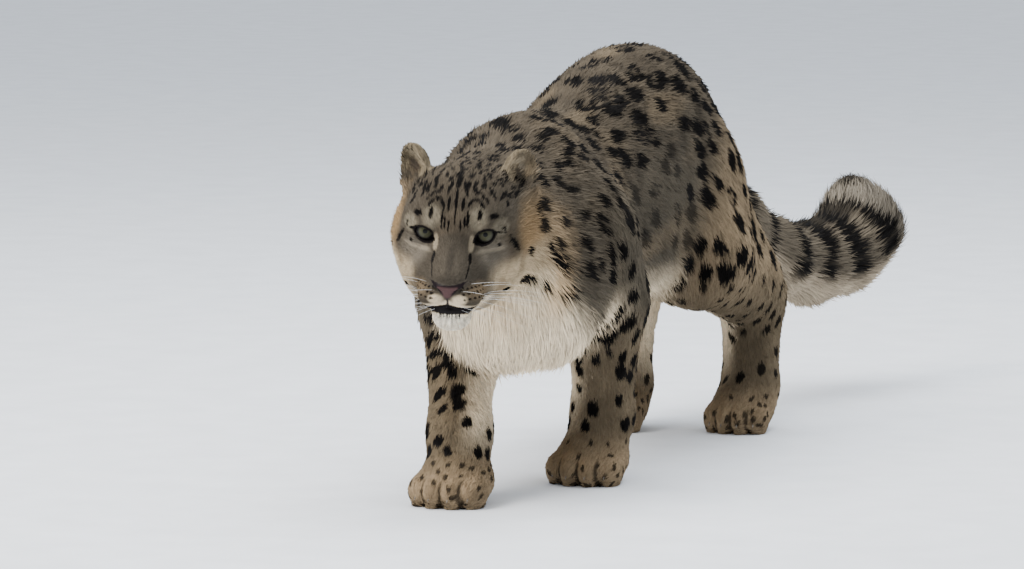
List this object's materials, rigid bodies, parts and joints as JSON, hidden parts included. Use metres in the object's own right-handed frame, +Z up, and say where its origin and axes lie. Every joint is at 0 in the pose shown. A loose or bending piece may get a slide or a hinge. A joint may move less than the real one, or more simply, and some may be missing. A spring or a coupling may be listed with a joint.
{
  "type": "snow leopard, life-size still model",
  "caption": "Life-size snow leopard, still, walking with its head low and its long bushy tail curled up at the end.",
  "frame": {"origin": "on the floor, under the middle of the model's box", "axes": "-Y the way the animal walks, +Y along the tail, +X its left side, +Z up"},
  "size_m": [0.3292, 1.6582, 0.5601],
  "materials": {
    "coat": "dense soft fur, smoky grey and cream with dark rosettes",
    "eye": "glossy, wet",
    "nose_leather": "damp fine-grained skin",
    "claw": "smooth horn",
    "whisker": "fine stiff hair"
  },
  "bodies": {
    "root": {"chest": "coat", "ear_left": "coat", "ear_right": "coat", "eye_left": "eye", "eye_right": "eye", "head": "coat", "hips": "coat", "loin": "coat", "lower_leg_front_left": "coat", "lower_leg_front_right": "coat", "lower_leg_hind_left": "coat", "lower_leg_hind_right": "coat", "neck": "coat", "nose": "nose_leather", "paw_front_left": "coat", "paw_front_right": "coat", "paw_hind_left": "coat", "paw_hind_right": "coat", "tail_middle": "coat", "tail_root": "coat", "tail_tip": "coat", "upper_leg_front_left": "coat", "upper_leg_front_right": "coat", "upper_leg_hind_left": "coat", "upper_leg_hind_right": "coat"}
  },
  "joints": []
}
